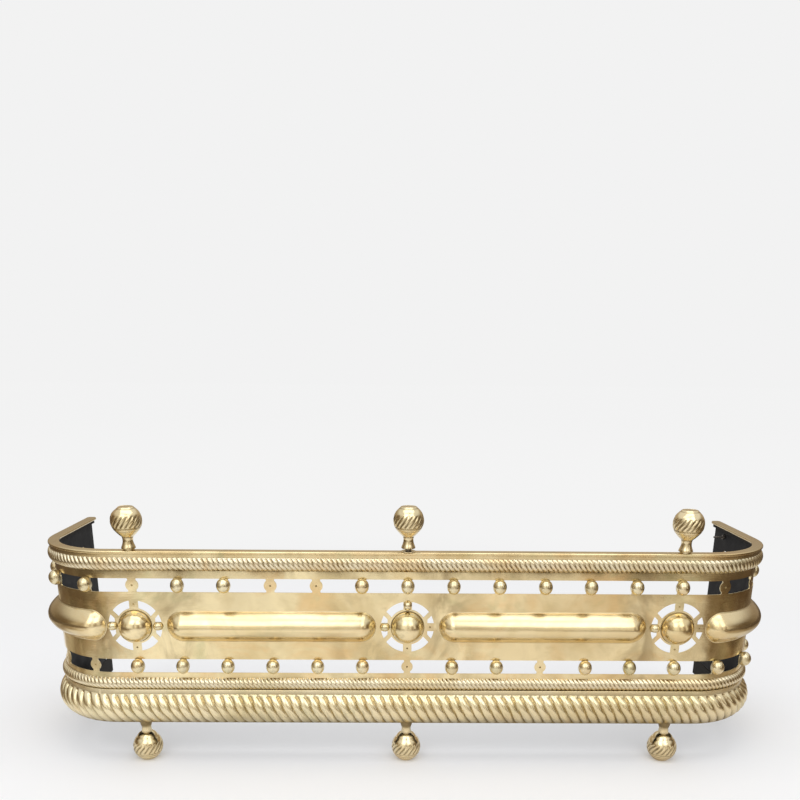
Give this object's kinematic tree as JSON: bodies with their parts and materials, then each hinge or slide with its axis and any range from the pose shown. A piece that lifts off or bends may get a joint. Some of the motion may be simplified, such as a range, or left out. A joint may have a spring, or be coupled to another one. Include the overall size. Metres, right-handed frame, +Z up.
{
  "type": "fire fender",
  "caption": "U-shaped fire fender: a pierced sheet with rounded corners, domed bosses, rosettes and studs between rope mouldings, with ball finials on its top rail and ball feet.",
  "frame": {"origin": "on the floor, under the middle of the bounding box", "axes": "+Z up, +X along the fender's length, the closed front faces -Y and the open back faces +Y"},
  "size_m": [1.143, 0.286, 0.404],
  "materials": {
    "brass": "polished and worn, with light tarnish",
    "sheet_brass": "polished outside, black japanned inside",
    "black_iron": "black japanned iron",
    "steel": "dull steel"
  },
  "bodies": {
    "root": {"frieze_sheet": "sheet_brass", "top_rail": "brass", "upper_rope": "brass", "lower_rope": "brass", "base_moulding": "brass", "base_plate": "black_iron", "long_boss_left": "brass", "long_boss_right": "brass", "corner_boss_left": "brass", "corner_boss_right": "brass", "rosette_dome_left": "brass", "rosette_dome_centre": "brass", "rosette_dome_right": "brass", "studs_upper": "brass", "studs_lower": "brass", "studs_rosette": "brass", "finial_ball_left": "brass", "finial_ball_centre": "brass", "finial_ball_right": "brass", "finial_stem_left": "brass", "finial_stem_centre": "brass", "finial_stem_right": "brass", "finial_washers": "brass", "foot_ball_front_left": "brass", "foot_ball_front_centre": "brass", "foot_ball_front_right": "brass", "foot_ball_rear_left": "brass", "foot_ball_rear_right": "brass", "foot_neck_front_left": "brass", "foot_neck_front_centre": "brass", "foot_neck_front_right": "brass", "foot_neck_rear_left": "brass", "foot_neck_rear_right": "brass", "finial_rods": "steel", "foot_rods": "steel", "end_bolt": "steel", "foot_nuts": "steel", "end_nut": "steel"}
  },
  "joints": []
}
